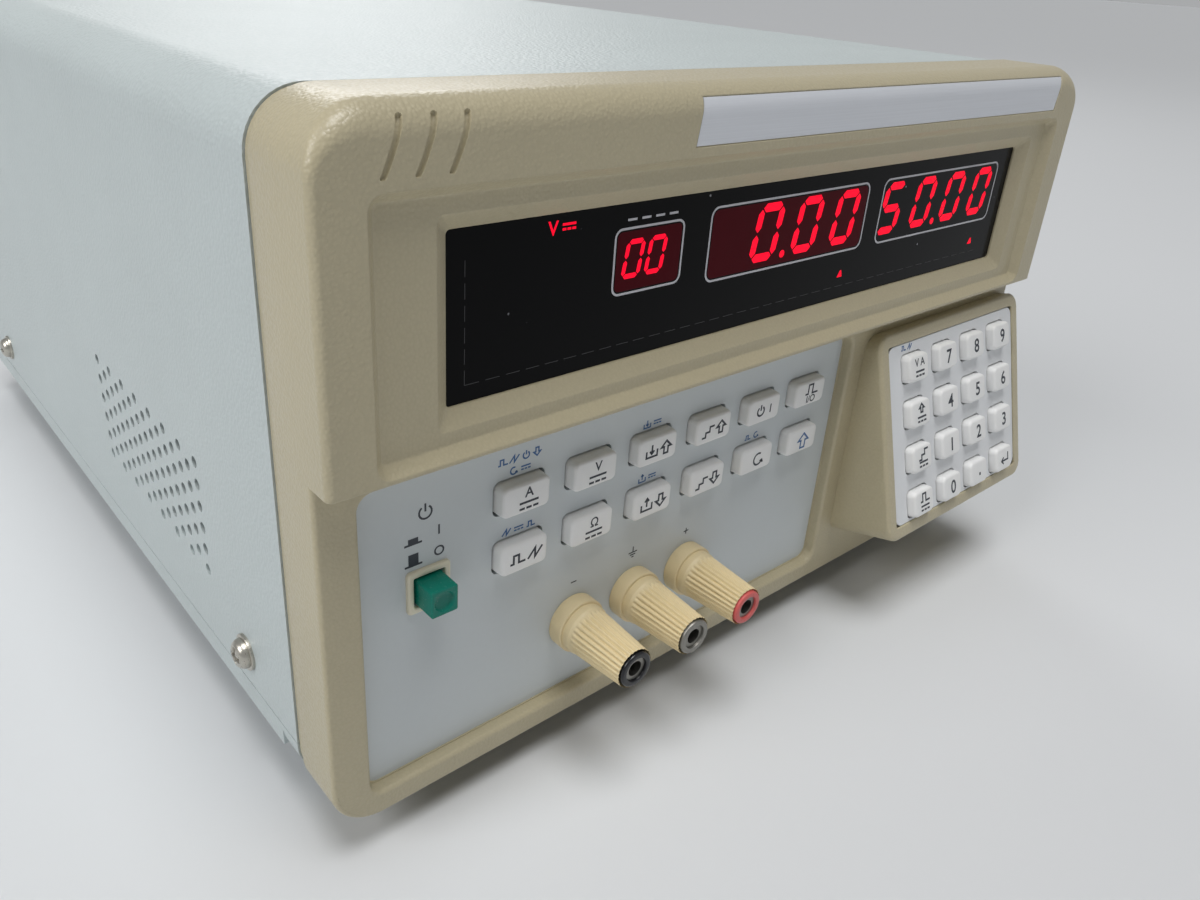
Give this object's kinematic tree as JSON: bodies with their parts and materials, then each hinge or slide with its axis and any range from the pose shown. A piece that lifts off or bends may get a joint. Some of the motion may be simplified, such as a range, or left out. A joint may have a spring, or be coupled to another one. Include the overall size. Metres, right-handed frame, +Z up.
{
  "type": "dc electronic load",
  "caption": "Bench DC electronic load: moulded front with a display brow, function keys, binding posts and a wedge keypad on a vented steel cabinet.",
  "frame": {"origin": "under the middle of the part, on the surface that its feet stand on", "axes": "+X to the right of a person at the front panel, +Y from the front panel to the rear, +Z up"},
  "size_m": [0.2596, 0.3356, 0.164],
  "materials": {
    "bezel_abs": "fine moulded texture",
    "window_acrylic": "polished",
    "panel_paint": "satin",
    "board_laminate": "solder mask",
    "led_red": "diffusing",
    "cream_plastic": "satin",
    "black_plastic": "satin",
    "post_plastic": "moulded",
    "plated_brass": "nickel plated",
    "case_paint": "fine textured paint",
    "foot_rubber": "matt",
    "screw_steel": "zinc plated",
    "sink_aluminium": "extruded",
    "core_steel": "varnished laminations",
    "button_green": "moulded",
    "key_plastic": "satin"
  },
  "bodies": {
    "root": {"front_bezel": "bezel_abs", "display_window": "window_acrylic", "control_panel": "panel_paint", "keypad_housing": "bezel_abs", "keypad_plate": "panel_paint", "front_board": "board_laminate", "digit_modules": "led_red", "keypad_board": "board_laminate", "switch_frame": "cream_plastic", "switch_body": "black_plastic", "post_collars": "post_plastic", "post_studs": "plated_brass", "post_nuts": "plated_brass", "top_cover": "case_paint", "chassis_base": "case_paint", "rear_panel": "case_paint", "feet": "foot_rubber", "case_screws": "screw_steel", "heat_sink": "sink_aluminium", "fan_frame": "black_plastic", "mains_transformer": "core_steel", "main_board": "board_laminate", "mains_inlet": "black_plastic", "interface_socket": "screw_steel"},
    "fan_rotor": {"fan_rotor": "black_plastic"},
    "power_button": {"power_button": "button_green"},
    "clamp_washer_minus": {"clamp_washer_minus": "plated_brass"},
    "post_cap_minus": {"post_cap_minus": "post_plastic"},
    "clamp_washer_ground": {"clamp_washer_ground": "plated_brass"},
    "post_cap_ground": {"post_cap_ground": "post_plastic"},
    "clamp_washer_plus": {"clamp_washer_plus": "plated_brass"},
    "post_cap_plus": {"post_cap_plus": "post_plastic"},
    "fn_key_a1": {"fn_key_a1": "key_plastic"},
    "fn_key_a2": {"fn_key_a2": "key_plastic"},
    "fn_key_a3": {"fn_key_a3": "key_plastic"},
    "fn_key_a4": {"fn_key_a4": "key_plastic"},
    "fn_key_a5": {"fn_key_a5": "key_plastic"},
    "fn_key_a6": {"fn_key_a6": "key_plastic"},
    "fn_key_b1": {"fn_key_b1": "key_plastic"},
    "fn_key_b2": {"fn_key_b2": "key_plastic"},
    "fn_key_b3": {"fn_key_b3": "key_plastic"},
    "fn_key_b4": {"fn_key_b4": "key_plastic"},
    "fn_key_b5": {"fn_key_b5": "key_plastic"},
    "fn_key_b6": {"fn_key_b6": "key_plastic"},
    "pad_key_r1c1": {"pad_key_r1c1": "key_plastic"},
    "pad_key_r1c2": {"pad_key_r1c2": "key_plastic"},
    "pad_key_r1c3": {"pad_key_r1c3": "key_plastic"},
    "pad_key_r1c4": {"pad_key_r1c4": "key_plastic"},
    "pad_key_r2c1": {"pad_key_r2c1": "key_plastic"},
    "pad_key_r2c2": {"pad_key_r2c2": "key_plastic"},
    "pad_key_r2c3": {"pad_key_r2c3": "key_plastic"},
    "pad_key_r2c4": {"pad_key_r2c4": "key_plastic"},
    "pad_key_r3c1": {"pad_key_r3c1": "key_plastic"},
    "pad_key_r3c2": {"pad_key_r3c2": "key_plastic"},
    "pad_key_r3c3": {"pad_key_r3c3": "key_plastic"},
    "pad_key_r3c4": {"pad_key_r3c4": "key_plastic"},
    "pad_key_r4c1": {"pad_key_r4c1": "key_plastic"},
    "pad_key_r4c2": {"pad_key_r4c2": "key_plastic"},
    "pad_key_r4c3": {"pad_key_r4c3": "key_plastic"},
    "pad_key_r4c4": {"pad_key_r4c4": "key_plastic"}
  },
  "joints": [
    {"name": "fan_spin", "type": "hinge", "parent": "root", "child": "fan_rotor", "pos_m": [0.062, 0.14783, 0.0715], "axis": [0, 1, 0], "continuous": true},
    {"name": "power_latch", "type": "slide", "parent": "root", "child": "power_button", "axis": [0, 1, 0], "range_m": [-0.003, 0.0006]},
    {"name": "cap_minus_travel", "type": "slide", "parent": "root", "child": "clamp_washer_minus", "axis": [0, -1, 0], "range_m": [0, 0.004]},
    {"name": "cap_minus_turn", "type": "hinge", "parent": "clamp_washer_minus", "child": "post_cap_minus", "pos_m": [-0.0597, -0.15717, 0.03605], "axis": [0, -1, 0], "range_deg": [0, 1441]},
    {"name": "cap_ground_travel", "type": "slide", "parent": "root", "child": "clamp_washer_ground", "axis": [0, -1, 0], "range_m": [0, 0.004]},
    {"name": "cap_ground_turn", "type": "hinge", "parent": "clamp_washer_ground", "child": "post_cap_ground", "pos_m": [-0.03988, -0.15717, 0.03605], "axis": [0, -1, 0], "range_deg": [0, 1441]},
    {"name": "cap_plus_travel", "type": "slide", "parent": "root", "child": "clamp_washer_plus", "axis": [0, -1, 0], "range_m": [0, 0.004]},
    {"name": "cap_plus_turn", "type": "hinge", "parent": "clamp_washer_plus", "child": "post_cap_plus", "pos_m": [-0.02006, -0.15717, 0.03605], "axis": [0, -1, 0], "range_deg": [0, 1441]},
    {"name": "fn_key_a1_press", "type": "slide", "parent": "root", "child": "fn_key_a1", "axis": [0, 1, 0], "range_m": [0, 0.0012], "stiffness_N_per_m": 200},
    {"name": "fn_key_a2_press", "type": "slide", "parent": "root", "child": "fn_key_a2", "axis": [0, 1, 0], "range_m": [0, 0.0012], "stiffness_N_per_m": 200},
    {"name": "fn_key_a3_press", "type": "slide", "parent": "root", "child": "fn_key_a3", "axis": [0, 1, 0], "range_m": [0, 0.0012], "stiffness_N_per_m": 200},
    {"name": "fn_key_a4_press", "type": "slide", "parent": "root", "child": "fn_key_a4", "axis": [0, 1, 0], "range_m": [0, 0.0012], "stiffness_N_per_m": 200},
    {"name": "fn_key_a5_press", "type": "slide", "parent": "root", "child": "fn_key_a5", "axis": [0, 1, 0], "range_m": [0, 0.0012], "stiffness_N_per_m": 200},
    {"name": "fn_key_a6_press", "type": "slide", "parent": "root", "child": "fn_key_a6", "axis": [0, 1, 0], "range_m": [0, 0.0012], "stiffness_N_per_m": 200},
    {"name": "fn_key_b1_press", "type": "slide", "parent": "root", "child": "fn_key_b1", "axis": [0, 1, 0], "range_m": [0, 0.0012], "stiffness_N_per_m": 200},
    {"name": "fn_key_b2_press", "type": "slide", "parent": "root", "child": "fn_key_b2", "axis": [0, 1, 0], "range_m": [0, 0.0012], "stiffness_N_per_m": 200},
    {"name": "fn_key_b3_press", "type": "slide", "parent": "root", "child": "fn_key_b3", "axis": [0, 1, 0], "range_m": [0, 0.0012], "stiffness_N_per_m": 200},
    {"name": "fn_key_b4_press", "type": "slide", "parent": "root", "child": "fn_key_b4", "axis": [0, 1, 0], "range_m": [0, 0.0012], "stiffness_N_per_m": 200},
    {"name": "fn_key_b5_press", "type": "slide", "parent": "root", "child": "fn_key_b5", "axis": [0, 1, 0], "range_m": [0, 0.0012], "stiffness_N_per_m": 200},
    {"name": "fn_key_b6_press", "type": "slide", "parent": "root", "child": "fn_key_b6", "axis": [0, 1, 0], "range_m": [0, 0.0012], "stiffness_N_per_m": 200},
    {"name": "pad_key_r1c1_press", "type": "slide", "parent": "root", "child": "pad_key_r1c1", "axis": [0, 0.9613, -0.2756], "range_m": [0, 0.0012], "stiffness_N_per_m": 200},
    {"name": "pad_key_r1c2_press", "type": "slide", "parent": "root", "child": "pad_key_r1c2", "axis": [0, 0.9613, -0.2756], "range_m": [0, 0.0012], "stiffness_N_per_m": 200},
    {"name": "pad_key_r1c3_press", "type": "slide", "parent": "root", "child": "pad_key_r1c3", "axis": [0, 0.9613, -0.2756], "range_m": [0, 0.0012], "stiffness_N_per_m": 200},
    {"name": "pad_key_r1c4_press", "type": "slide", "parent": "root", "child": "pad_key_r1c4", "axis": [0, 0.9613, -0.2756], "range_m": [0, 0.0012], "stiffness_N_per_m": 200},
    {"name": "pad_key_r2c1_press", "type": "slide", "parent": "root", "child": "pad_key_r2c1", "axis": [0, 0.9613, -0.2756], "range_m": [0, 0.0012], "stiffness_N_per_m": 200},
    {"name": "pad_key_r2c2_press", "type": "slide", "parent": "root", "child": "pad_key_r2c2", "axis": [0, 0.9613, -0.2756], "range_m": [0, 0.0012], "stiffness_N_per_m": 200},
    {"name": "pad_key_r2c3_press", "type": "slide", "parent": "root", "child": "pad_key_r2c3", "axis": [0, 0.9613, -0.2756], "range_m": [0, 0.0012], "stiffness_N_per_m": 200},
    {"name": "pad_key_r2c4_press", "type": "slide", "parent": "root", "child": "pad_key_r2c4", "axis": [0, 0.9613, -0.2756], "range_m": [0, 0.0012], "stiffness_N_per_m": 200},
    {"name": "pad_key_r3c1_press", "type": "slide", "parent": "root", "child": "pad_key_r3c1", "axis": [0, 0.9613, -0.2756], "range_m": [0, 0.0012], "stiffness_N_per_m": 200},
    {"name": "pad_key_r3c2_press", "type": "slide", "parent": "root", "child": "pad_key_r3c2", "axis": [0, 0.9613, -0.2756], "range_m": [0, 0.0012], "stiffness_N_per_m": 200},
    {"name": "pad_key_r3c3_press", "type": "slide", "parent": "root", "child": "pad_key_r3c3", "axis": [0, 0.9613, -0.2756], "range_m": [0, 0.0012], "stiffness_N_per_m": 200},
    {"name": "pad_key_r3c4_press", "type": "slide", "parent": "root", "child": "pad_key_r3c4", "axis": [0, 0.9613, -0.2756], "range_m": [0, 0.0012], "stiffness_N_per_m": 200},
    {"name": "pad_key_r4c1_press", "type": "slide", "parent": "root", "child": "pad_key_r4c1", "axis": [0, 0.9613, -0.2756], "range_m": [0, 0.0012], "stiffness_N_per_m": 200},
    {"name": "pad_key_r4c2_press", "type": "slide", "parent": "root", "child": "pad_key_r4c2", "axis": [0, 0.9613, -0.2756], "range_m": [0, 0.0012], "stiffness_N_per_m": 200},
    {"name": "pad_key_r4c3_press", "type": "slide", "parent": "root", "child": "pad_key_r4c3", "axis": [0, 0.9613, -0.2756], "range_m": [0, 0.0012], "stiffness_N_per_m": 200},
    {"name": "pad_key_r4c4_press", "type": "slide", "parent": "root", "child": "pad_key_r4c4", "axis": [0, 0.9613, -0.2756], "range_m": [0, 0.0012], "stiffness_N_per_m": 200}
  ],
  "couplings": [
    {"joint": "cap_minus_turn", "follows": "cap_minus_travel", "rad_per_m": 6283.2},
    {"joint": "cap_ground_turn", "follows": "cap_ground_travel", "rad_per_m": 6283.2},
    {"joint": "cap_plus_turn", "follows": "cap_plus_travel", "rad_per_m": 6283.2}
  ]
}
